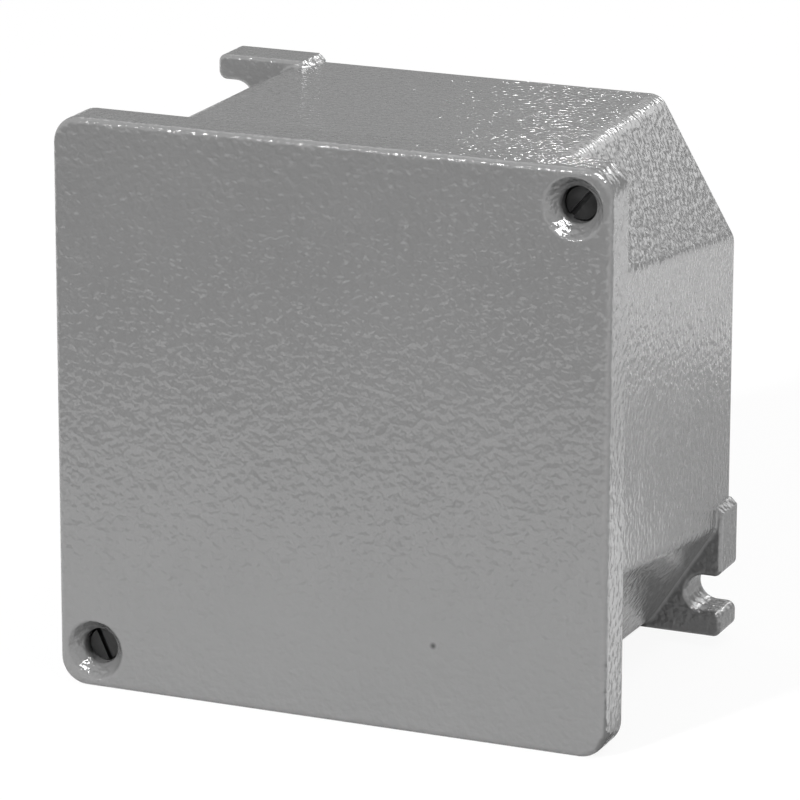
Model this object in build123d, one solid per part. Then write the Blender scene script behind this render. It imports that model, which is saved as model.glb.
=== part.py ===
from build123d import *
import os
from math import cos, radians, sin

# Die cast aluminium junction box with a square lid held by two captive screws.
# The origin is the centre of the flat back face. +Z is up, the lid faces -Y and +X is to its right.
# Depths are counted forwards from the back face, so a depth d lies at y = -d. All sizes are in millimetres.

# Lid casting
lid_width = 90.0
lid_depth = 7.2
lid_face = 2.6
lid_skirt = 2.0
lid_corner_radius = 4.3
lid_edge_radius = 1.0
lid_back_chamfer = 0.3
lid_pocket_radius = 2.0

# Base casting, from the back face to the joint with the lid
base_depth = 55.3
rim_inset = 0.4
wall_taper = 2.7
wall = 3.0
floor_thickness = 3.2
outer_corner_radius = 3.0
cavity_corner_radius = 2.0
back_chamfer = 0.4

# The cut corners. Each facet is set by its angle from the horizontal and by how deep it cuts the square corner.
screw_facet_angle = 60.0
screw_cut_rim = 8.2
screw_cut_back = 10.8
screw_cavity_cut_rim = 9.5
screw_cavity_cut_floor = 9.8
lug_facet_angle = 57.0
lug_cut_rim = 14.6
lug_cut_back = 8.5
lug_cavity_draft = 0.9

# Joint between the castings: a tongue on the rim presses a gasket in a groove of the lid
groove_inset = 1.3
groove_width = 2.0
groove_depth = 3.0
groove_screw_land = 0.9
tongue_width = 1.2
tongue_height = 1.2
groove_lip = 1.4
gasket_side_gap = 0.05

# Lid screws, M3 cheese heads sunk deep, with a waisted neck that carries a retaining ring
screw_inset = 6.0
dish_radius = 4.75
dish_depth = 2.3
dish_edge_radius = 0.45
dish_throat_radius = 0.6
head_radius = 2.68
head_height = 2.0
head_recess_clearance = 0.12
head_seat_land = 1.6
head_chamfer = 0.25
slot_width = 0.8
slot_depth = 0.9
slot_angle_top = 50.0
slot_angle_bottom = 115.0
neck_radius = 1.3
thread_radius = 1.5
thread_engagement = 4.0
thread_clearance = 0.05
lid_hole_clearance = 0.25
screw_tip_chamfer = 0.4
ring_radius = 2.5
ring_thickness = 0.8
ring_bore_clearance = 0.05
ring_pocket_clearance = 0.25
screw_lift = 4.2
lift_spare = 0.1

# Post behind each lid screw, which runs out into the facet
post_radius = 4.3
post_straight = 4.2
post_tip_radius = 2.6
post_nose_length = 2.8
post_nose_radius = 0.8
post_run = 4.0
screw_tip_gap = 0.6

# Fixing lugs at the back of the other two corners, each with an open slot
lug_stand = 1.3
lug_width = 15.6
lug_height = 21.2
lug_thickness = 7.0
lug_corner_radius = 1.3
lug_wall_chamfer = 1.0
lug_edge_chamfer = 0.45
lug_root = 0.3
slot_half_width = 2.95
slot_inset_x = 2.9
slot_inset_z = 7.0

# Tapped pillars on the floor for a mounting plate or rail
pillar_spacing = 50.0
pillar_radius = 4.0
pillar_height = 6.0
pillar_bore_radius = 1.65
pillar_bore_depth = 7.5
pillar_root = 0.8

# Earth terminal on its own pillar
earth_x = 0.0
earth_inset = 12.9
earth_pillar_radius = 4.6
earth_pillar_height = 7.0
earth_thread_radius = 2.0
earth_thread_clearance = 0.05
earth_bore_depth = 8.5
earth_screw_length = 8.0
earth_head_radius = 3.5
earth_head_height = 2.6
earth_slot_width = 1.2
earth_slot_depth = 1.2
earth_slot_angle = 35.0
clamp_side = 9.4
clamp_thickness = 0.9
clamp_horn = 1.1
clamp_hole_clearance = 0.25
spring_radius = 3.4
spring_thickness = 0.9
spring_gap = 0.7
spring_bore_clearance = 0.15
spring_split_angle = 20.0

# How far a cutter runs past a face, and how near counts as the same place
cutter_overrun = 1.0
same_place = 0.01

# Places worked out from the sizes above
overall_depth = base_depth + lid_depth
rim_half = lid_width / 2 - rim_inset
back_half = rim_half - wall_taper
side_draft = wall_taper / base_depth
floor_half = back_half + side_draft * floor_thickness - wall
screw_offset = lid_width / 2 - screw_inset
lug_reach = back_half + lug_stand
fixing_slot_x = lug_reach - slot_inset_x
fixing_slot_z = lug_reach - slot_inset_z
earth_z = earth_inset - back_half
head_recess_radius = head_radius + head_recess_clearance
head_seat = base_depth + head_seat_land
ring_pocket_radius = ring_radius + ring_pocket_clearance
ring_front = base_depth - screw_lift - lift_spare
thread_front = ring_front - ring_thickness
thread_back = thread_front - thread_engagement
ring_pocket_floor = thread_front - lift_spare
bore_end = thread_back - screw_tip_gap
tongue_top = base_depth + tongue_height
groove_top = base_depth + groove_depth
earth_top = floor_thickness + earth_pillar_height


def facet_direction(angle):
    # outward normal of a facet, as its horizontal and vertical parts
    return sin(radians(angle)), cos(radians(angle))


def axis_reach(angle, horizontal, vertical):
    # reach of a point along a facet's normal
    across, along = facet_direction(angle)
    return across * horizontal + along * vertical


def cut_reach(half, cut, angle):
    # reach of a facet that cuts the corner of a square
    return axis_reach(angle, half, half) - cut


def corner_points(half, reach, angle):
    # where a facet meets the side wall and the top wall
    across, along = facet_direction(angle)
    side_height = (reach - across * half) / along
    top_width = (reach - along * half) / across
    return side_height, top_width


def octagon(half, screw_reach, lug_facet_reach, radius):
    # outline with screw facets at top right and bottom left, lug facets at the other two corners
    screw_side, screw_top = corner_points(half, screw_reach, screw_facet_angle)
    lug_side, lug_top = corner_points(half, lug_facet_reach, lug_facet_angle)
    points = [
        (half, screw_side), (screw_top, half),
        (-lug_top, half), (-half, lug_side),
        (-half, -screw_side), (-screw_top, -half),
        (lug_top, -half), (half, -lug_side),
    ]
    face = make_face(Polyline(*points, close=True))
    return fillet(face.vertices(), radius)


def drafted(back_depth, front_depth, back_sizes, front_sizes, radius):
    # eight flat walls that run from the back sizes to the front sizes: half width, screw reach, lug reach
    height = front_depth - back_depth
    solid = pad(Rectangle(2 * lid_width, 2 * lid_width), back_depth, height)
    screw_across, screw_along = facet_direction(screw_facet_angle)
    lug_across, lug_along = facet_direction(lug_facet_angle)
    directions = (
        ((1, 0), (0, 1)),
        ((screw_across, screw_along),),
        ((-lug_across, lug_along),),
    )
    for group, back_reach, front_reach in zip(directions, back_sizes, front_sizes):
        for across, along in group:
            for side in (-1, 1):
                normal = Vector(side * across, (front_reach - back_reach) / height, side * along)
                point = Vector(side * across * back_reach, -back_depth, side * along * back_reach)
                solid = split(solid, Plane(origin=point, z_dir=normal), keep=Keep.BOTTOM)
    uprights = [e for e in solid.edges() if abs(e.tangent_at(0.5).Y) > 0.5]
    return fillet(uprights, radius)


def at(depth):
    # plane parallel to the back face, looking towards the lid
    return Plane.XZ.offset(depth)


def pad(sketch, depth, height):
    # sketch drawn in X and Z, extruded forwards from a depth
    return extrude(at(depth) * sketch, amount=height)


def turned(profile, x, z):
    # solid of revolution about a forward axis, from points of radius and depth
    points = [(radius, -depth) for radius, depth in profile]
    face = make_face(Polyline(*points, close=True))
    return Pos(x, 0, z) * revolve(face, axis=Axis.Y)


def circles_at(shape, depth, radii):
    # circular edges of given radii that lie at a depth
    found = [e for e in shape.edges().filter_by(GeomType.CIRCLE) if abs(e.center().Y + depth) < same_place]
    return [e for e in found if any(abs(e.radius - radius) < same_place for radius in radii)]


def corners_at(sketch, places):
    # corners of a sketch that lie at given places
    return [v for v in sketch.vertices() if any(abs(v.X - x) + abs(v.Y - y) < same_place for x, y in places)]


def both(shape):
    # the shape and its twin half a turn round the middle axis
    return [shape, Rot(0, 180, 0) * shape]


# Facet reaches that several pieces share. The gasket groove passes inside the lid screws.
lug_reach_rim = cut_reach(rim_half, lug_cut_rim, lug_facet_angle)
groove_screw_reach = (
    axis_reach(screw_facet_angle, screw_offset, screw_offset) - ring_pocket_radius - groove_screw_land
)


def joint_outline(inset, radius):
    # the rim outline moved in by an inset from the groove's outer side
    half = rim_half - groove_inset - inset
    return octagon(half, groove_screw_reach - inset, lug_reach_rim - groove_inset - inset, radius)


def joint_ring(first_inset, last_inset, depth, height):
    # closed ring between two insets of the groove line
    outer = joint_outline(first_inset, outer_corner_radius)
    inner = joint_outline(last_inset, cavity_corner_radius)
    return pad(outer, depth, height) - pad(inner, depth, height)


def make_lug():
    # slab with a slot that opens sideways, drawn for the bottom right corner
    slab = Pos(lug_reach - lug_width / 2, lug_height / 2 - lug_reach) * Rectangle(lug_width, lug_height)
    slot_length = lug_reach - fixing_slot_x + slot_half_width
    slot_end = Pos(fixing_slot_x, -fixing_slot_z) * Circle(slot_half_width)
    slot_run = Pos(fixing_slot_x + slot_length / 2, -fixing_slot_z) * Rectangle(slot_length, 2 * slot_half_width)
    outline = slab - slot_end - slot_run
    wall_corners = [(lug_reach, lug_height - lug_reach), (lug_reach - lug_width, -lug_reach)]
    edge_corners = [(lug_reach, -lug_reach)]
    edge_corners += [(lug_reach, side * slot_half_width - fixing_slot_z) for side in (-1, 1)]
    outline = fillet(corners_at(outline, edge_corners), lug_corner_radius)
    outline = chamfer(corners_at(outline, wall_corners), lug_wall_chamfer)
    lug = pad(outline, 0, lug_thickness)
    front = lug.faces().sort_by(Axis.Y)[0]
    return chamfer(front.edges(), lug_edge_chamfer)


def post_section(depth, radius, setback):
    # stadium round the screw axis, running inwards along the facet's normal
    across, along = facet_direction(screw_facet_angle)
    middle = screw_offset - across * (setback + post_run / 2), screw_offset - along * (setback + post_run / 2)
    shape = Rot(0, 0, 90 - screw_facet_angle) * SlotCenterToCenter(post_run, 2 * radius)
    return at(depth) * Pos(*middle) * shape


def make_post():
    # screw post outside the facet, tapering back into it
    sections = [
        post_section(bore_end - post_nose_length, post_nose_radius, post_tip_radius),
        post_section(bore_end, post_tip_radius, 0),
        post_section(base_depth - post_straight, post_radius, 0),
        post_section(base_depth, post_radius, 0),
    ]
    return loft(sections, ruled=True)


def make_post_bore():
    # pocket for the retaining ring, then the threaded bore at its clear diameter
    bore_radius = thread_radius + thread_clearance
    profile = [
        (0, base_depth + tongue_height), (ring_pocket_radius, base_depth + tongue_height),
        (ring_pocket_radius, ring_pocket_floor), (bore_radius, ring_pocket_floor),
        (bore_radius, bore_end), (0, bore_end - bore_radius / 2),
    ]
    return turned(profile, screw_offset, screw_offset)


def make_pillar(x, z, radius, height, bore_radius, bore_depth):
    # pillar with a blind bore, its root buried in the floor
    top = floor_thickness + height
    body = pad(Pos(x, z) * Circle(radius), floor_thickness / 2, height + floor_thickness / 2)
    profile = [
        (0, top + cutter_overrun), (bore_radius, top + cutter_overrun), (bore_radius, top - bore_depth),
        (0, top - bore_depth - bore_radius / 2),
    ]
    return body, turned(profile, x, z)


def make_base():
    back_sizes = (
        back_half,
        cut_reach(back_half, screw_cut_back, screw_facet_angle),
        cut_reach(back_half, lug_cut_back, lug_facet_angle),
    )
    rim_sizes = rim_half, cut_reach(rim_half, screw_cut_rim, screw_facet_angle), lug_reach_rim
    shell = drafted(0, base_depth, back_sizes, rim_sizes, outer_corner_radius)
    back_face = shell.faces().sort_by(Axis.Y)[-1]
    shell = chamfer(back_face.edges(), back_chamfer)
    walls = shell
    for piece in both(make_lug()) + both(make_post()):
        shell += piece
    lug_fronts = [e for e in shell.edges() if abs(e.center().Y + lug_thickness) < same_place]
    shell = chamfer([e for e in lug_fronts if walls.distance_to(e @ 0.5) < same_place], lug_root)

    mouth_half = rim_half - wall
    floor_sizes = (
        floor_half,
        cut_reach(floor_half, screw_cavity_cut_floor, screw_facet_angle),
        lug_reach_rim - wall - lug_cavity_draft,
    )
    mouth_sizes = (
        mouth_half,
        cut_reach(mouth_half, screw_cavity_cut_rim, screw_facet_angle),
        lug_reach_rim - wall,
    )
    shell -= drafted(floor_thickness, base_depth, floor_sizes, mouth_sizes, cavity_corner_radius)

    half_gap = (groove_width - tongue_width) / 2
    shell += joint_ring(half_gap, half_gap + tongue_width, base_depth, tongue_height)

    places = [(x, z) for x in (-1, 1) for z in (-1, 1)]
    bores = both(make_post_bore())
    for x, z in places:
        body, bore = make_pillar(
            x * pillar_spacing / 2, z * pillar_spacing / 2,
            pillar_radius, pillar_height, pillar_bore_radius, pillar_bore_depth,
        )
        shell += body
        bores.append(bore)
    body, bore = make_pillar(
        earth_x, earth_z, earth_pillar_radius, earth_pillar_height,
        earth_thread_radius + earth_thread_clearance, earth_bore_depth,
    )
    shell += body
    bores.append(bore)

    shell = chamfer(circles_at(shell, floor_thickness, (pillar_radius, earth_pillar_radius)), pillar_root)
    for bore in bores:
        shell -= bore
    return shell


def make_lid():
    blank = RectangleRounded(lid_width, lid_width, lid_corner_radius)
    lid = pad(blank, base_depth, lid_depth)
    front = lid.faces().sort_by(Axis.Y)[0]
    lid = fillet(front.edges(), lid_edge_radius)
    back = lid.faces().sort_by(Axis.Y)[-1]
    lid = chamfer(back.edges(), lid_back_chamfer)

    # middle pocket inside the groove's lip, then the groove itself
    pocket_depth = lid_depth - lid_face
    lid -= pad(joint_outline(groove_width + groove_lip, lid_pocket_radius), base_depth, pocket_depth)
    lid -= joint_ring(0, groove_width, base_depth, groove_depth)

    # cored out corners over the fixing lugs
    inner_half = lid_width / 2 - lid_skirt
    core_reach = lug_reach_rim - groove_inset + lid_skirt
    side_height, top_width = corner_points(inner_half, core_reach, lug_facet_angle)
    corner = [(inner_half, -inner_half), (inner_half, -side_height), (top_width, -inner_half)]
    core = make_face(Polyline(*corner, close=True))
    core = fillet(core.vertices(), lid_pocket_radius)
    for piece in both(pad(core, base_depth, pocket_depth)):
        lid -= piece

    # dished screw holes
    hole_radius = thread_radius + lid_hole_clearance
    front_over = overall_depth + cutter_overrun
    back_over = base_depth - cutter_overrun
    profile = [
        (0, front_over), (dish_radius, front_over), (dish_radius, overall_depth),
        (head_recess_radius, overall_depth - dish_depth), (head_recess_radius, head_seat),
        (hole_radius, head_seat), (hole_radius, back_over), (0, back_over),
    ]
    for piece in both(turned(profile, screw_offset, screw_offset)):
        lid -= piece
    lid = fillet(circles_at(lid, overall_depth, (dish_radius,)), dish_edge_radius)
    throats = circles_at(lid, overall_depth - dish_depth, (head_recess_radius,))
    return fillet(throats, dish_throat_radius)


def make_gasket():
    first = gasket_side_gap
    last = groove_width - gasket_side_gap
    return joint_ring(first, last, tongue_top, groove_top - tongue_top)


def make_lid_screw(slot_angle):
    # head, neck and threaded end, with a driver slot
    head_top = head_seat + head_height
    profile = [
        (0, head_top), (head_radius, head_top), (head_radius, head_seat), (neck_radius, head_seat),
        (neck_radius, thread_front), (thread_radius, thread_front),
        (thread_radius, thread_back + screw_tip_chamfer),
        (thread_radius - screw_tip_chamfer, thread_back), (0, thread_back),
    ]
    screw = turned(profile, 0, 0)
    screw = chamfer(circles_at(screw, head_top, (head_radius,)), head_chamfer)
    slot = Rot(0, 0, slot_angle) * Rectangle(4 * head_radius, slot_width)
    return screw - pad(slot, head_top - slot_depth, 2 * slot_depth)


def make_ring():
    # plastic washer that is loose on the neck and too small for the thread
    outer = Circle(ring_radius)
    bore = Circle(neck_radius + ring_bore_clearance)
    return pad(outer - bore, thread_front, ring_thickness)


def make_earth_clamp():
    # square clamp washer with two edges bent forwards
    plate = Rectangle(clamp_side, clamp_side) - Circle(earth_thread_radius + clamp_hole_clearance)
    clamp = pad(plate, earth_top, clamp_thickness)
    for side in (-1, 1):
        edge = Pos(side * (clamp_side - clamp_thickness) / 2, 0) * Rectangle(clamp_thickness, clamp_side)
        clamp += pad(edge, earth_top, clamp_thickness + clamp_horn)
    return Pos(earth_x, 0, earth_z) * clamp


def make_earth_spring():
    # split lock washer, pressed flat
    start = earth_top + clamp_thickness
    disc = Circle(spring_radius) - Circle(earth_thread_radius + spring_bore_clearance)
    split = Pos(0, spring_radius) * Rot(0, 0, spring_split_angle) * Rectangle(spring_gap, 2 * spring_radius)
    return Pos(earth_x, 0, earth_z) * pad(disc - split, start, spring_thickness)


def make_earth_screw():
    seat = earth_top + clamp_thickness + spring_thickness
    top = seat + earth_head_height
    end = seat - earth_screw_length
    profile = [
        (0, top), (earth_head_radius, top), (earth_head_radius, seat), (earth_thread_radius, seat),
        (earth_thread_radius, end + screw_tip_chamfer), (earth_thread_radius - screw_tip_chamfer, end),
        (0, end),
    ]
    screw = turned(profile, 0, 0)
    screw = chamfer(circles_at(screw, top, (earth_head_radius,)), head_chamfer)
    slot = Rot(0, 0, earth_slot_angle) * Rectangle(4 * earth_head_radius, earth_slot_width)
    screw -= pad(slot, top - earth_slot_depth, 2 * earth_slot_depth)
    return Pos(earth_x, 0, earth_z) * screw


def write(shape, name):
    export_step(shape, "parts/" + name + ".step")


os.makedirs("parts", exist_ok=True)
write(make_base(), "base")
write(make_lid(), "lid")
write(make_gasket(), "lid_gasket")
for name, side, slot_angle in (("top", 1, slot_angle_top), ("bottom", -1, slot_angle_bottom)):
    spot = Pos(side * screw_offset, 0, side * screw_offset)
    write(spot * make_lid_screw(slot_angle), "lid_screw_" + name)
    write(spot * make_ring(), "screw_ring_" + name)
write(make_earth_clamp(), "earth_clamp")
write(make_earth_spring(), "earth_spring_washer")
write(make_earth_screw(), "earth_screw")
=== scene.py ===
import math

import bpy
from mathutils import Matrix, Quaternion, Vector


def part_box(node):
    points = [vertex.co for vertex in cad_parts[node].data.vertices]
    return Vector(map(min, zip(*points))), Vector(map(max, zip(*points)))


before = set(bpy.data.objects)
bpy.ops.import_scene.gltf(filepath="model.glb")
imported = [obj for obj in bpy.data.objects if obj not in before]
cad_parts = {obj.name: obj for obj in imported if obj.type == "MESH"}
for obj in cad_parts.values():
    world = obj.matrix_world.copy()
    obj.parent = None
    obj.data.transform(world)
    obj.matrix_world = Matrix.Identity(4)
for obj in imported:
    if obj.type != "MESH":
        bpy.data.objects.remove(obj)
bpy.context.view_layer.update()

mm = 0.001
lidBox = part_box("lid")
lidFront = lidBox[0][1]
floorLevel = lidBox[0][2]
print("frame loaded:", len(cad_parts), "nodes")


# Node helpers

mixFirst, mixSecond, mixResult = 6, 7, 2  # the colour sockets of a Mix node


def grey(level):
    return (level, level, level, 1.0)


def clearNodes(tree):
    tree.nodes.clear()
    return tree


def addNode(tree, kind, place, **values):
    node = tree.nodes.new(kind)
    node.location = place
    for name, value in values.items():
        setattr(node, name, value)
    return node


def setInputs(node, values):
    for name, value in values.items():
        node.inputs[name].default_value = value


def link(tree, source, output, target, entry):
    tree.links.new(source.outputs[output], target.inputs[entry])


def newGroup(name, inputs, outputs):
    tree = bpy.data.node_groups.new(name, "ShaderNodeTree")
    for socketName, kind, value in inputs:
        socket = tree.interface.new_socket(socketName, in_out="INPUT", socket_type=kind)
        socket.default_value = value
    for socketName, kind in outputs:
        tree.interface.new_socket(socketName, in_out="OUTPUT", socket_type=kind)
    start = addNode(tree, "NodeGroupInput", (-900, 0))
    end = addNode(tree, "NodeGroupOutput", (700, 0))
    return tree, start, end


def mathNode(tree, operation, place, second=None):
    node = addNode(tree, "ShaderNodeMath", place, operation=operation)
    if second is not None:
        node.inputs[1].default_value = second
    return node


def useGroup(tree, group, place, **values):
    node = addNode(tree, "ShaderNodeGroup", place, node_tree=group)
    setInputs(node, values)
    return node


# Shared effects. The scale of a noise or of cells is features for each metre of the object.

def makeRippleGroup():
    # soft rounded bumps of two sizes, for paint and castings
    tree, start, end = newGroup(
        "softRipple",
        [("Coarse", "NodeSocketFloat", 600.0), ("Fine", "NodeSocketFloat", 1800.0),
         ("FineShare", "NodeSocketFloat", 0.25)],
        [("Height", "NodeSocketFloat"), ("Patch", "NodeSocketFloat")],
    )
    place = addNode(tree, "ShaderNodeTexCoord", (-900, 250))
    coarse = addNode(tree, "ShaderNodeTexNoise", (-600, 250))
    setInputs(coarse, {"Detail": 1.0, "Roughness": 0.35, "Distortion": 0.2})
    fine = addNode(tree, "ShaderNodeTexNoise", (-600, -50))
    setInputs(fine, {"Detail": 1.0})
    patch = addNode(tree, "ShaderNodeTexNoise", (-600, -350))
    setInputs(patch, {"Scale": 45.0, "Detail": 2.0})
    share = mathNode(tree, "MULTIPLY", (-200, 0))
    total = mathNode(tree, "ADD", (100, 100))
    for noise in (coarse, fine, patch):
        link(tree, place, "Object", noise, "Vector")
    link(tree, start, "Coarse", coarse, "Scale")
    link(tree, start, "Fine", fine, "Scale")
    link(tree, fine, "Fac", share, 0)
    link(tree, start, "FineShare", share, 1)
    link(tree, coarse, "Fac", total, 0)
    link(tree, share, "Value", total, 1)
    link(tree, total, "Value", end, "Height")
    link(tree, patch, "Fac", end, "Patch")
    return tree


def makeEdgeGroup():
    # mask of outer edges, found by comparing the true normal with a rounded one
    slightTurn, fullTurn = 0.995, 0.90  # cosines where the mask starts and where it is full
    tree, start, end = newGroup(
        "edgeMask",
        [("Width", "NodeSocketFloat", 0.0006), ("Breakup", "NodeSocketFloat", 900.0)],
        [("Mask", "NodeSocketFloat"), ("Normal", "NodeSocketVector")],
    )
    rounded = addNode(tree, "ShaderNodeBevel", (-600, 200), samples=6)
    surface = addNode(tree, "ShaderNodeNewGeometry", (-600, 0))
    compare = addNode(tree, "ShaderNodeVectorMath", (-350, 150), operation="DOT_PRODUCT")
    spread = addNode(tree, "ShaderNodeMapRange", (-100, 150))
    setInputs(spread, {"From Min": slightTurn, "From Max": fullTurn})
    place = addNode(tree, "ShaderNodeTexCoord", (-800, -250))
    noise = addNode(tree, "ShaderNodeTexNoise", (-600, -250))
    broken = mathNode(tree, "MULTIPLY", (250, 50))
    link(tree, start, "Width", rounded, "Radius")
    link(tree, start, "Breakup", noise, "Scale")
    link(tree, rounded, "Normal", compare, 0)
    link(tree, surface, "Normal", compare, 1)
    link(tree, compare, "Value", spread, "Value")
    link(tree, place, "Object", noise, "Vector")
    link(tree, spread, "Result", broken, 0)
    link(tree, noise, "Fac", broken, 1)
    link(tree, broken, "Value", end, "Mask")
    link(tree, rounded, "Normal", end, "Normal")
    return tree


def makeSpeckGroup():
    # sparse small dots of dirt on metal
    emptyShare = 0.93  # about this share of the cells holds no speck
    tree, start, end = newGroup(
        "sparseSpecks",
        [("Scale", "NodeSocketFloat", 120.0), ("Size", "NodeSocketFloat", 0.05)],
        [("Mask", "NodeSocketFloat")],
    )
    place = addNode(tree, "ShaderNodeTexCoord", (-900, 0))
    cells = addNode(tree, "ShaderNodeTexVoronoi", (-600, 100))
    setInputs(cells, {"Randomness": 1.0})
    near = mathNode(tree, "LESS_THAN", (-300, 100))
    chance = addNode(tree, "ShaderNodeSeparateColor", (-300, -100))
    rare = mathNode(tree, "GREATER_THAN", (-50, -100), second=emptyShare)
    both = mathNode(tree, "MULTIPLY", (200, 0))
    link(tree, place, "Object", cells, "Vector")
    link(tree, start, "Scale", cells, "Scale")
    link(tree, cells, "Distance", near, 0)
    link(tree, start, "Size", near, 1)
    link(tree, cells, "Color", chance, "Color")
    link(tree, chance, "Red", rare, 0)
    link(tree, near, "Value", both, 0)
    link(tree, rare, "Value", both, 1)
    link(tree, both, "Value", end, "Mask")
    return tree


def makeNibGroup():
    # one nib of dust caught in the paint
    tree, start, end = newGroup(
        "dustNib",
        [("Centre", "NodeSocketVector", (0.0, 0.0, 0.0)), ("Radius", "NodeSocketFloat", 0.0004)],
        [("Mask", "NodeSocketFloat")],
    )
    place = addNode(tree, "ShaderNodeTexCoord", (-700, 0))
    away = addNode(tree, "ShaderNodeVectorMath", (-400, 0), operation="DISTANCE")
    soft = addNode(tree, "ShaderNodeMapRange", (-100, 0), interpolation_type="SMOOTHSTEP")
    setInputs(soft, {"To Min": 1.0, "To Max": 0.0})
    link(tree, place, "Object", away, 0)
    link(tree, start, "Centre", away, 1)
    link(tree, away, "Value", soft, "Value")
    link(tree, start, "Radius", soft, "From Max")
    link(tree, soft, "Result", end, "Mask")
    return tree


def makeTurningGroup():
    # fine rings round a screw's own axis, as a lathe leaves them, with light scratches
    tree, start, end = newGroup(
        "turningMarks",
        [("Centre", "NodeSocketVector", (0.0, 0.0, 0.0)), ("Rings", "NodeSocketFloat", 5000.0)],
        [("Height", "NodeSocketFloat"), ("Scratches", "NodeSocketFloat")],
    )
    place = addNode(tree, "ShaderNodeTexCoord", (-900, 200))
    offset = addNode(tree, "ShaderNodeVectorMath", (-700, 200), operation="SUBTRACT")
    rings = addNode(tree, "ShaderNodeTexWave", (-400, 200), wave_type="RINGS", rings_direction="Y")
    setInputs(rings, {"Distortion": 1.2, "Detail": 2.0})
    scratches = addNode(tree, "ShaderNodeTexNoise", (-400, -150))
    setInputs(scratches, {"Scale": 1500.0, "Detail": 5.0})
    link(tree, place, "Object", offset, 0)
    link(tree, start, "Centre", offset, 1)
    link(tree, offset, "Vector", rings, "Vector")
    link(tree, start, "Rings", rings, "Scale")
    link(tree, place, "Object", scratches, "Vector")
    link(tree, rings, "Fac", end, "Height")
    link(tree, scratches, "Fac", end, "Scratches")
    return tree


def makeThreadGroup():
    # a helical ridge round a screw's own axis, from Start towards the tip, outside the radius Core
    tree, start, end = newGroup(
        "screwThread",
        [("Centre", "NodeSocketVector", (0.0, 0.0, 0.0)), ("Pitch", "NodeSocketFloat", 0.0005),
         ("Start", "NodeSocketFloat", 0.0), ("Core", "NodeSocketFloat", 0.0014)],
        [("Height", "NodeSocketFloat")],
    )
    place = addNode(tree, "ShaderNodeTexCoord", (-900, 200))
    offset = addNode(tree, "ShaderNodeVectorMath", (-700, 200), operation="SUBTRACT")
    parts = addNode(tree, "ShaderNodeSeparateXYZ", (-500, 200))
    whole = addNode(tree, "ShaderNodeSeparateXYZ", (-500, -200))
    across = addNode(tree, "ShaderNodeCombineXYZ", (-500, 0))
    angle = mathNode(tree, "ARCTAN2", (-300, 300))
    share = mathNode(tree, "DIVIDE", (-150, 300), second=math.tau)
    rows = mathNode(tree, "DIVIDE", (-300, 100))
    turns = mathNode(tree, "ADD", (0, 200))
    ridge = mathNode(tree, "PINGPONG", (150, 200), second=0.5)  # up and down once a turn
    radius = addNode(tree, "ShaderNodeVectorMath", (-300, -50), operation="LENGTH")
    outside = mathNode(tree, "GREATER_THAN", (-100, -50))
    beyond = mathNode(tree, "GREATER_THAN", (-100, -250))
    both = mathNode(tree, "MULTIPLY", (150, -100))
    height = mathNode(tree, "MULTIPLY", (400, 100))
    link(tree, place, "Object", offset, 0)
    link(tree, start, "Centre", offset, 1)
    link(tree, offset, "Vector", parts, "Vector")
    link(tree, place, "Object", whole, "Vector")
    link(tree, parts, "X", across, "X")
    link(tree, parts, "Z", across, "Z")
    link(tree, parts, "Z", angle, 0)
    link(tree, parts, "X", angle, 1)
    link(tree, angle, "Value", share, 0)
    link(tree, parts, "Y", rows, 0)
    link(tree, start, "Pitch", rows, 1)
    link(tree, rows, "Value", turns, 0)
    link(tree, share, "Value", turns, 1)
    link(tree, turns, "Value", ridge, 0)
    link(tree, across, "Vector", radius, "Vector")
    link(tree, radius, "Value", outside, 0)
    link(tree, start, "Core", outside, 1)
    link(tree, whole, "Y", beyond, 0)
    link(tree, start, "Start", beyond, 1)
    link(tree, outside, "Value", both, 0)
    link(tree, beyond, "Value", both, 1)
    link(tree, ridge, "Value", height, 0)
    link(tree, both, "Value", height, 1)
    link(tree, height, "Value", end, "Height")
    return tree


ripple = makeRippleGroup()
edgeMask = makeEdgeGroup()
specks = makeSpeckGroup()
dustNib = makeNibGroup()
turning = makeTurningGroup()
screwThread = makeThreadGroup()
print("shared effects ready")


# Materials

def startMaterial(name):
    material = bpy.data.materials.new(name)
    material.use_nodes = True
    tree = clearNodes(material.node_tree)
    shader = addNode(tree, "ShaderNodeBsdfPrincipled", (500, 0))
    output = addNode(tree, "ShaderNodeOutputMaterial", (800, 0))
    link(tree, shader, "BSDF", output, "Surface")
    return material, tree, shader


def mixColours(tree, place, first, second):
    node = addNode(tree, "ShaderNodeMix", place, data_type="RGBA")
    node.inputs[mixFirst].default_value = first
    node.inputs[mixSecond].default_value = second
    return node


def mapRange(tree, place, before, after):
    node = addNode(tree, "ShaderNodeMapRange", place)
    setInputs(node, {"From Min": before[0], "From Max": before[1], "To Min": after[0], "To Max": after[1]})
    return node


def bump(tree, place, distance):
    node = addNode(tree, "ShaderNodeBump", place)
    setInputs(node, {"Strength": 1.0, "Distance": distance})
    return node


hammerPaint = {
    "colour": grey(0.1425),
    "paleColour": grey(0.1565),  # slow changes of tone
    "edgeColour": grey(0.221),  # thin paint on sharp edges
    "nibColour": grey(0.03),
    "edgeWidth": 0.5 * mm,
    "coarse": 950.0,
    "fine": 2600.0,
    "fineShare": 0.15,
    "wallRipple": 0.18 * mm,
    "lidRipple": 0.205 * mm,
    "patchRange": (0.35, 0.65),
    "roughness": (0.08, 0.12),
    "ior": 1.7,
    "nibCentre": (17.4 * mm, lidFront, -30.6 * mm),
    "nibRadius": 0.75 * mm,
}


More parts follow.
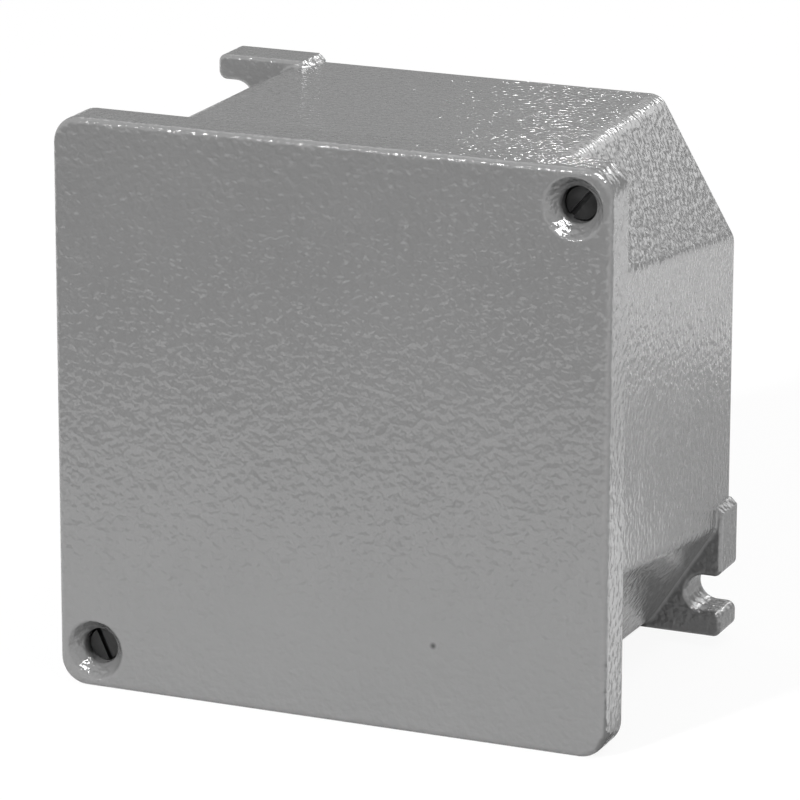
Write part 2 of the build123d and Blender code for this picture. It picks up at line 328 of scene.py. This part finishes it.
def makePaint(name, depth):
    # glossy grey hammer paint that has flowed into low soft bumps, deeper on the lid
    paint = hammerPaint
    material, tree, shader = startMaterial(name)
    waves = useGroup(tree, ripple, (-600, -200), Coarse=paint["coarse"], Fine=paint["fine"],
                     FineShare=paint["fineShare"])
    edges = useGroup(tree, edgeMask, (-600, 300), Width=paint["edgeWidth"])
    nib = useGroup(tree, dustNib, (-600, 100), Centre=paint["nibCentre"], Radius=paint["nibRadius"])
    tone = mixColours(tree, (-300, 400), paint["colour"], paint["paleColour"])
    worn = mixColours(tree, (-50, 350), paint["colour"], paint["edgeColour"])
    marked = mixColours(tree, (200, 300), paint["colour"], paint["nibColour"])
    gloss = mapRange(tree, (-100, 0), paint["patchRange"], paint["roughness"])
    relief = bump(tree, (200, -250), depth)
    link(tree, waves, "Patch", tone, 0)
    link(tree, edges, "Mask", worn, 0)
    link(tree, tone, mixResult, worn, mixFirst)
    link(tree, nib, "Mask", marked, 0)
    link(tree, worn, mixResult, marked, mixFirst)
    link(tree, marked, mixResult, shader, "Base Color")
    link(tree, waves, "Patch", gloss, "Value")
    link(tree, gloss, "Result", shader, "Roughness")
    link(tree, waves, "Height", relief, "Height")
    link(tree, edges, "Normal", relief, "Normal")
    link(tree, relief, "Normal", shader, "Normal")
    setInputs(shader, {"IOR": paint["ior"]})
    return material


gasketRubber = {
    "colour": (0.022, 0.022, 0.023, 1.0),
    "dustColour": (0.06, 0.06, 0.058, 1.0),
    "coarse": 1500.0,
    "fine": 6000.0,
    "fineShare": 0.6,
    "depth": 0.02 * mm,
    "patchRange": (0.3, 0.7),
    "roughness": (0.55, 0.75),
}


def makeRubber():
    # black sealing cord with a little dust
    rubber = gasketRubber
    material, tree, shader = startMaterial("gasketRubber")
    grain = useGroup(tree, ripple, (-600, 0), Coarse=rubber["coarse"], Fine=rubber["fine"],
                     FineShare=rubber["fineShare"])
    tone = mixColours(tree, (-200, 200), rubber["colour"], rubber["dustColour"])
    matt = mapRange(tree, (-200, -50), rubber["patchRange"], rubber["roughness"])
    relief = bump(tree, (100, -250), rubber["depth"])
    link(tree, grain, "Patch", tone, 0)
    link(tree, tone, mixResult, shader, "Base Color")
    link(tree, grain, "Patch", matt, "Value")
    link(tree, matt, "Result", shader, "Roughness")
    link(tree, grain, "Height", relief, "Height")
    link(tree, relief, "Normal", shader, "Normal")
    return material


ringPlastic = {
    "colour": (0.74, 0.72, 0.66, 1.0),
    # painted shade, laid on the ring's edges
    "shadeColour": (0.62, 0.59, 0.52, 1.0),
    "edgeWidth": 0.15 * mm,
    "coarse": 2500.0,
    "fine": 9000.0,
    "fineShare": 0.5,
    "depth": 0.01 * mm,
    "patchRange": (0.3, 0.7),
    "roughness": (0.35, 0.5),
    "subsurface": 0.12,
    "subsurfaceDepth": 0.5 * mm,
}


def makePlastic():
    # milky moulded plastic, with painted shade that darkens its edges a little
    plastic = ringPlastic
    material, tree, shader = startMaterial("ringPlastic")
    grain = useGroup(tree, ripple, (-600, 0), Coarse=plastic["coarse"], Fine=plastic["fine"],
                     FineShare=plastic["fineShare"])
    edges = useGroup(tree, edgeMask, (-600, 300), Width=plastic["edgeWidth"])
    tone = mixColours(tree, (-200, 200), plastic["colour"], plastic["shadeColour"])
    sheen = mapRange(tree, (-200, -50), plastic["patchRange"], plastic["roughness"])
    relief = bump(tree, (100, -250), plastic["depth"])
    # the edge mask lays the painted shade on the edges
    link(tree, edges, "Mask", tone, 0)
    link(tree, tone, mixResult, shader, "Base Color")
    link(tree, grain, "Patch", sheen, "Value")
    link(tree, sheen, "Result", shader, "Roughness")
    link(tree, grain, "Height", relief, "Height")
    link(tree, relief, "Normal", shader, "Normal")
    setInputs(shader, {
        "Subsurface Weight": plastic["subsurface"],
        "Subsurface Scale": plastic["subsurfaceDepth"],
    })
    return material


def addThread(tree, relief, metal):
    thread = metal["thread"]
    helix = useGroup(tree, screwThread, (-200, -450), Centre=metal["centre"], Pitch=thread["pitch"],
                     Start=thread["start"], Core=thread["core"])
    ridges = bump(tree, (0, -450), thread["depth"])
    link(tree, helix, "Height", ridges, "Height")
    link(tree, ridges, "Normal", relief, "Normal")


def makeMetal(name, metal):
    # turned or pressed metal with rings, scratches, specks of dirt and bright edges
    material, tree, shader = startMaterial(name)
    marks = useGroup(tree, turning, (-700, 0), Centre=metal["centre"], Rings=metal["rings"])
    edges = useGroup(tree, edgeMask, (-700, 300), Width=metal["edgeWidth"])
    dirt = useGroup(tree, specks, (-700, -300), Scale=metal["dirtScale"], Size=metal["dirtSize"])
    worn = mixColours(tree, (-300, 300), metal["colour"], metal["edgeColour"])
    marked = mixColours(tree, (0, 300), metal["colour"], metal["dirtColour"])
    gloss = mapRange(tree, (-200, -50), metal["scratchRange"], metal["roughness"])
    relief = bump(tree, (100, -250), metal["depth"])
    link(tree, edges, "Mask", worn, 0)
    link(tree, dirt, "Mask", marked, 0)
    link(tree, worn, mixResult, marked, mixFirst)
    link(tree, marked, mixResult, shader, "Base Color")
    link(tree, marks, "Scratches", gloss, "Value")
    link(tree, gloss, "Result", shader, "Roughness")
    link(tree, marks, "Height", relief, "Height")
    link(tree, relief, "Normal", shader, "Normal")
    setInputs(shader, {"Metallic": 1.0})
    if "thread" in metal:
        addThread(tree, relief, metal)
    return material


def nodeMiddle(node):
    low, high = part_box(node)
    return tuple((a + b) / 2 for a, b in zip(low, high))


def darkSteel(node):
    return {
        "centre": nodeMiddle(node),
        "rings": 4200.0,
        "colour": (0.022, 0.022, 0.023, 1.0),
        "edgeColour": (0.11, 0.11, 0.113, 1.0),
        "edgeWidth": 0.12 * mm,
        "dirtColour": (0.012, 0.011, 0.010, 1.0),
        "dirtScale": 900.0,
        "dirtSize": 0.12,
        "scratchRange": (0.3, 0.7),
        "roughness": (0.32, 0.5),
        "depth": 0.006 * mm,
    }


def lidScrewSteelAndHoleShade(side):
    # the thread starts where the ring sits on the neck, and its ridge is half of depth high
    metal = darkSteel("lid_screw_" + side)
    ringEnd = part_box("screw_ring_" + side)[1][1]
    # the heads are dark like black-oxide steel, and darker still as painted shade of the deep holes they
    # sit in
    metal["colour"] = grey(0.042)
    metal["thread"] = {"pitch": 0.5 * mm, "start": ringEnd, "core": 1.45 * mm, "depth": 0.6 * mm}
    return metal


def springSteel():
    metal = darkSteel("earth_spring_washer")
    metal.update(
        colour=(0.36, 0.36, 0.37, 1.0),
        edgeColour=(0.6, 0.6, 0.61, 1.0),
        roughness=(0.28, 0.42),
    )
    return metal


def turnedBrass(node):
    metal = darkSteel(node)
    metal.update(
        colour=(0.62, 0.44, 0.19, 1.0),
        edgeColour=(0.85, 0.68, 0.36, 1.0),
        dirtColour=(0.16, 0.11, 0.05, 1.0),
        roughness=(0.24, 0.38),
    )
    return metal


finishes = {
    "base": makePaint("wallPaint", hammerPaint["wallRipple"]),
    "lid": makePaint("lidPaint", hammerPaint["lidRipple"]),
    "lid_gasket": makeRubber(),
    "screw_ring_top": makePlastic(),
    "lid_screw_top": makeMetal("screwSteelAndHoleShadeTop", lidScrewSteelAndHoleShade("top")),
    "lid_screw_bottom": makeMetal("screwSteelAndHoleShadeBottom", lidScrewSteelAndHoleShade("bottom")),
    "earth_clamp": makeMetal("brassClamp", turnedBrass("earth_clamp")),
    "earth_screw": makeMetal("brassScrew", turnedBrass("earth_screw")),
    "earth_spring_washer": makeMetal("springSteel", springSteel()),
}
finishes["screw_ring_bottom"] = finishes["screw_ring_top"]
for name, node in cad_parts.items():
    for slot in node.material_slots:
        slot.material = finishes[name]
print("materials assigned")


# Stage: a pale sheet on a dark table, with cards round it that only reflections see, glowing as painted
# reflections and painted shade

stage = {
    "sheet": ((-1.2, 0.284), (1.0, -0.662), (2.0, 2.2), (-1.6, 2.2)),
    "sheetColour": grey(0.93),
    "bounceColour": grey(0.44),  # the sheet for bounced light only, to keep the bounce low
    "cameraWhite": 0.92,
    "table": ((-2.0, -2.5), (2.0, -2.5), (2.0, 0.4), (-2.0, 0.4)),
    "tableDrop": 2.0 * mm,
    "cardLift": 0.2 * mm,
    "darkLevel": 0.012,
    "cardRoughness": 0.9,
}

# cards that lie beside the box, with corners across and back in mm, and how bright they are; they glow as
# painted reflections in the box's sides, the bright ones of lit paper and the dim ones of its shade
floorCards = {
    "sidePaintedReflection": {"corners": ((49, -52), (120, -52), (140, 60), (80, 60)), "glow": 2.0},
    # painted shadow of the box on the paper, for the right wall to reflect
    "shadeCard": {"corners": ((30, -52), (49, -52), (80, 60), (112, 155), (30, 155)), "glow": 0.53},
    "farPaintedReflection": {"corners": ((110, 160), (175, 160), (310, 460), (205, 460)), "glow": 1.65},
    # painted shade of the paper where the lid stands, for the lid's side to reflect
    "footPaintedShade": {"corners": ((44, -66), (80, -66), (80, -52), (44, -52)), "glow": stage["darkLevel"]},
    "lidPaintedReflection": {"corners": ((100, 60), (170, 60), (300, 300), (190, 300)), "glow": 1.75, "lift": 0.3 * mm},
}

# cards that stand behind the box, in metres: a painted highlight for the ridge and a dim painted
# reflection behind
wallCards = {
    "ridge_painted_highlight": {"across": (-0.36, 0.02), "height": (0.27, 0.56), "back": 1.15, "glow": 1.0},
    "back_painted_reflection": {"across": (-1.6, 0.9), "height": (floorLevel, 1.4), "back": 1.2, "glow": 0.38},
}


def makeSheetMaterial():
    # paper that takes the shadow, but is nearly white to the camera
    material = bpy.data.materials.new("paperSheet")
    material.use_nodes = True
    tree = clearNodes(material.node_tree)
    output = addNode(tree, "ShaderNodeOutputMaterial", (600, 0))
    paper = addNode(tree, "ShaderNodeBsdfDiffuse", (0, 100))
    tone = mixColours(tree, (-250, 100), stage["sheetColour"], stage["bounceColour"])
    white = addNode(tree, "ShaderNodeEmission", (0, -100))
    setInputs(white, {"Strength": 1.0})
    rays = addNode(tree, "ShaderNodeLightPath", (-600, 300))
    seen = mathNode(tree, "MAXIMUM", (-350, 300))
    share = mathNode(tree, "MULTIPLY", (50, 300), second=stage["cameraWhite"])
    mix = addNode(tree, "ShaderNodeMixShader", (350, 0))
    link(tree, rays, "Is Diffuse Ray", tone, 0)
    link(tree, tone, mixResult, paper, "Color")
    link(tree, rays, "Is Camera Ray", seen, 0)
    link(tree, rays, "Is Transmission Ray", seen, 1)
    link(tree, seen, "Value", share, 0)
    link(tree, share, "Value", mix, 0)
    link(tree, paper, "BSDF", mix, 1)
    link(tree, white, "Emission", mix, 2)
    link(tree, mix, "Shader", output, "Surface")
    return material


def makeCardMaterial(name, glow):
    # dark card with an even glow that paints a reflection, dim for the room and bright for lit paper
    material = bpy.data.materials.new(name)
    material.use_nodes = True
    shader = material.node_tree.nodes["Principled BSDF"]
    setInputs(shader, {
        "Base Color": grey(stage["darkLevel"]),
        "Roughness": stage["cardRoughness"],
        "Emission Color": grey(glow),
        "Emission Strength": 1.0,
    })
    return material


def makePanel(name, corners, material):
    mesh = bpy.data.meshes.new(name)
    mesh.from_pydata(corners, [], [tuple(range(len(corners)))])
    panel = bpy.data.objects.new(name, mesh)
    bpy.context.scene.collection.objects.link(panel)
    mesh.materials.append(material)
    return panel


def makeCard(name, corners, glow):
    card = makePanel(name, corners, makeCardMaterial(name, glow))
    card.visible_camera = False
    card.visible_diffuse = False
    card.visible_shadow = False


def makeStage():
    sheet = [(x, y, floorLevel) for x, y in stage["sheet"]]
    makePanel("paper_sheet", sheet, makeSheetMaterial())
    table = [(x, y, floorLevel - stage["tableDrop"]) for x, y in stage["table"]]
    makeCard("front_table", table, stage["darkLevel"])
    for name, card in floorCards.items():
        level = floorLevel + card.get("lift", stage["cardLift"])
        corners = [(x * mm, y * mm, level) for x, y in card["corners"]]
        makeCard(name, corners, card["glow"])
    for name, card in wallCards.items():
        left, right = card["across"]
        low, high = card["height"]
        outline = ((left, low), (right, low), (right, high), (left, high))
        corners = [(x, card["back"], z) for x, z in outline]
        makeCard(name, corners, card["glow"])


makeStage()


# Light, in metres and watts. A lamp without gloss shows in no reflection, and one
# without diffuse shows only in reflections.

lamps = {
    "key_lamp": {"place": (-0.44, -1.3, 0.767), "size": (0.09, 0.07), "power": 28.5, "gloss": False},
    "key_glint": {"place": (-0.44, -1.3, 0.767), "size": (0.11, 0.11), "power": 9.0, "diffuse": False},
    "right_lamp": {"place": (1.2, -0.35, 0.12), "size": (0.6, 0.6), "power": 11.0, "gloss": False},
    "top_fill": {"place": (-0.1, 0.1, 0.9), "size": (0.8, 0.8), "power": 0.5, "gloss": False},
    "top_lamp_left": {"place": (-0.33, 0.19, 0.84), "size": (0.25, 0.25), "power": 0.4},
    "top_lamp_right": {"place": (0.37, -0.16, 0.82), "size": (0.2, 0.2), "power": 1.8},
    "back_lamp": {"place": (0.2, 0.87, 0.31), "size": (0.34, 0.46), "power": 0.8},
    "ridge_lamp": {"place": (0.1, 0.84, 0.35), "size": (0.16, 0.06), "power": 0.34, "diffuse": False},
    "spark_lamp": {"place": (-0.103, 0.324, 0.18), "size": (0.01, 0.01), "power": 0.024, "diffuse": False},
    "dish_lamp": {"place": (0.37, -0.16, 0.82), "size": (0.4, 0.4), "power": 20.0, "diffuse": False},
    "rear_fill": {"place": (-0.05, 1.6, 0.1), "size": (0.8, 0.8), "power": 14.0, "gloss": False},
    "left_fill": {"place": (-1.5, 0.35, 0.2), "size": (0.8, 0.8), "power": 5.0, "gloss": False},
}
room = {"ambient": 0.3, "white": 1.0}


def makeLamp(name, lamp):
    data = bpy.data.lights.new(name, "AREA")
    data.shape = "RECTANGLE"
    data.size, data.size_y = lamp["size"]
    data.energy = lamp["power"]
    light = bpy.data.objects.new(name, data)
    bpy.context.scene.collection.objects.link(light)
    light.location = lamp["place"]
    light.rotation_mode = "QUATERNION"
    light.rotation_quaternion = (-Vector(lamp["place"])).to_track_quat("-Z", "Y")
    light.visible_camera = False
    light.visible_glossy = lamp.get("gloss", True)
    light.visible_diffuse = lamp.get("diffuse", True)


def makeRoom():
    # white for rays that see the background, soft grey light for the rest
    world = bpy.data.worlds.new("room")
    bpy.context.scene.world = world
    world.use_nodes = True
    tree = clearNodes(world.node_tree)
    rays = addNode(tree, "ShaderNodeLightPath", (-800, 0))
    seen = mathNode(tree, "MAXIMUM", (-550, 0))
    through = mathNode(tree, "MAXIMUM", (-350, 0))
    level = mapRange(tree, (-150, 0), (0.0, 1.0), (room["ambient"], room["white"]))
    glow = addNode(tree, "ShaderNodeBackground", (100, 0))
    output = addNode(tree, "ShaderNodeOutputWorld", (350, 0))
    setInputs(glow, {"Color": grey(1.0)})
    link(tree, rays, "Is Camera Ray", seen, 0)
    link(tree, rays, "Is Glossy Ray", seen, 1)
    link(tree, seen, "Value", through, 0)
    link(tree, rays, "Is Transmission Ray", through, 1)
    link(tree, through, "Value", level, "Value")
    link(tree, level, "Result", glow, "Strength")
    link(tree, glow, "Background", output, "Surface")


for name, lamp in lamps.items():
    makeLamp(name, lamp)
makeRoom()
print("stage and light ready")


# Camera, at the photograph's viewing angle

camera = {
    "place": (306.4 * mm, -756.4 * mm, 227.0 * mm),
    "aim": (-11.2 * mm, -8.0 * mm, -10.2 * mm),
    "roll": 0.15,
    "lens": 238.9,
    "sensor": 36.0,
    "clip": (0.01, 10.0),
}


def makeCamera():
    data = bpy.data.cameras.new("camera")
    data.lens = camera["lens"]
    data.sensor_width = camera["sensor"]
    data.clip_start, data.clip_end = camera["clip"]
    viewer = bpy.data.objects.new("camera", data)
    bpy.context.scene.collection.objects.link(viewer)
    viewer.location = camera["place"]
    viewer.rotation_mode = "QUATERNION"
    direction = Vector(camera["aim"]) - Vector(camera["place"])
    turn = Quaternion((0.0, 0.0, 1.0), math.radians(camera["roll"]))
    viewer.rotation_quaternion = direction.to_track_quat("-Z", "Y") @ turn
    bpy.context.scene.camera = viewer


makeCamera()
bpy.context.scene.view_settings.view_transform = "Standard"
print("camera ready")
